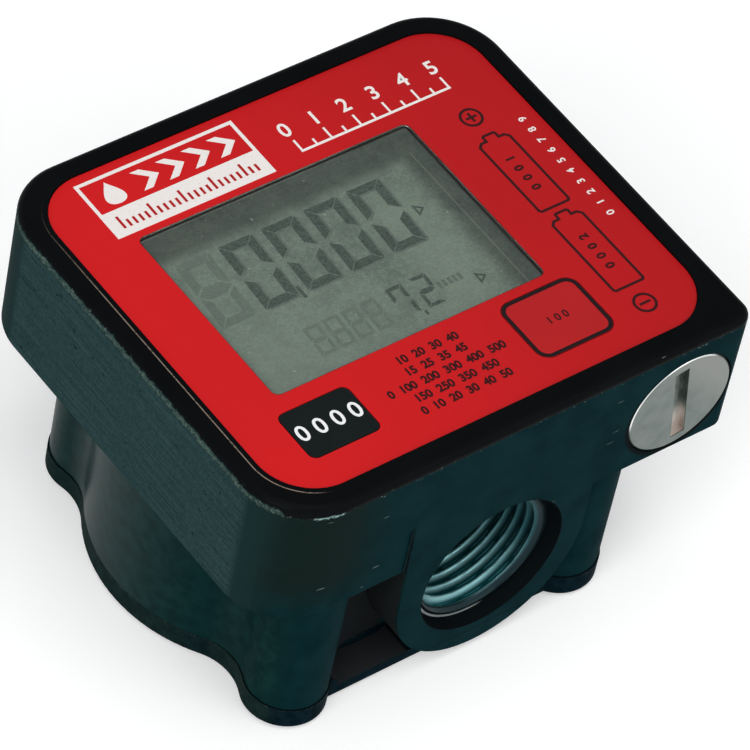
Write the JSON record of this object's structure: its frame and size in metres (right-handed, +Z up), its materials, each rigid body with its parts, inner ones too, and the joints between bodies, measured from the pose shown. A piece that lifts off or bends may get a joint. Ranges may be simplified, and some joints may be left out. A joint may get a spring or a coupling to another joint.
{
  "type": "oil flow meter",
  "caption": "Inline oil flow meter: square display housing with keys over a two-lobed oval gear chamber, with a threaded port front and back and a screw cap over its batteries.",
  "frame": {"origin": "centre of the footprint on the underside of the chamber cover", "axes": "+X to the right along the display, +Y from the battery cap side to the back, +Z up through the display"},
  "size_m": [0.078, 0.068, 0.0465],
  "materials": {
    "casting": "black paint on die-cast aluminium, left side milled",
    "black_steel": "blackened steel",
    "seal": "nitrile rubber",
    "gear": "moulded plastic, natural",
    "bronze": "sintered bronze",
    "steel": "ground steel",
    "magnet": "nickel-plated magnet",
    "label_red": "printed polyester sheet, satin",
    "pane": "clear acrylic",
    "black_plastic": "moulded, black",
    "lcd": "reflective liquid crystal display",
    "board": "green glass-fibre laminate",
    "key_black": "printed polyester, satin",
    "cap_steel": "turned, nickel-plated",
    "spring_metal": "nickel-plated spring brass",
    "cell": "round dry cell in a bare jacket"
  },
  "bodies": {
    "meter": {"body_casting": "casting", "chamber_cover": "casting", "cover_screws": "black_steel", "chamber_seal": "seal", "gear_pin_left": "steel", "gear_pin_right": "steel", "display_label": "label_red", "display_window": "pane", "display_carrier": "black_plastic", "display_gasket": "seal", "lcd_glass": "lcd", "lcd_connectors": "seal", "circuit_board": "board", "board_screws": "steel", "controller_chip": "black_plastic", "key_switches": "steel", "pulse_sensors": "black_plastic", "battery_front": "cell", "battery_rear": "cell", "battery_contact": "spring_metal", "contact_insulator": "black_plastic"},
    "left_gear": {"oval_gear_left": "gear", "gear_bush_left": "bronze", "gear_magnets_left": "magnet"},
    "right_gear": {"oval_gear_right": "gear", "gear_bush_right": "bronze", "gear_magnets_right": "magnet"},
    "reset_button": {"reset_key": "key_black"},
    "cal_button": {"cal_key": "label_red"},
    "cap_ring": {"battery_cap_seal": "seal"},
    "cap": {"battery_cap": "cap_steel", "cap_contact": "spring_metal"}
  },
  "joints": [
    {"name": "left_gear_spin", "type": "hinge", "parent": "meter", "child": "left_gear", "pos_m": [-0.0162, -0.003, 0.014], "axis": [0, 0, 1], "continuous": true},
    {"name": "right_gear_spin", "type": "hinge", "parent": "meter", "child": "right_gear", "pos_m": [0.0098, -0.003, 0.014], "axis": [0, 0, 1], "continuous": true},
    {"name": "reset_press", "type": "slide", "parent": "meter", "child": "reset_button", "axis": [0, 0, -1], "range_m": [0, 0.0006], "stiffness_N_per_m": 400},
    {"name": "cal_press", "type": "slide", "parent": "meter", "child": "cal_button", "axis": [0, 0, -1], "range_m": [0, 0.0006], "stiffness_N_per_m": 400},
    {"name": "cap_travel", "type": "slide", "parent": "meter", "child": "cap_ring", "axis": [0, -1, 0], "range_m": [0, 0.0075]},
    {"name": "cap_turn", "type": "hinge", "parent": "cap_ring", "child": "cap", "pos_m": [0.0286, -0.034, 0.034], "axis": [0, -1, 0], "range_deg": [0, 1800]}
  ],
  "couplings": [
    {"joint": "right_gear_spin", "follows": "left_gear_spin", "ratio": -1},
    {"joint": "cap_travel", "follows": "cap_turn", "m_per_rad": 0.0002387}
  ]
}
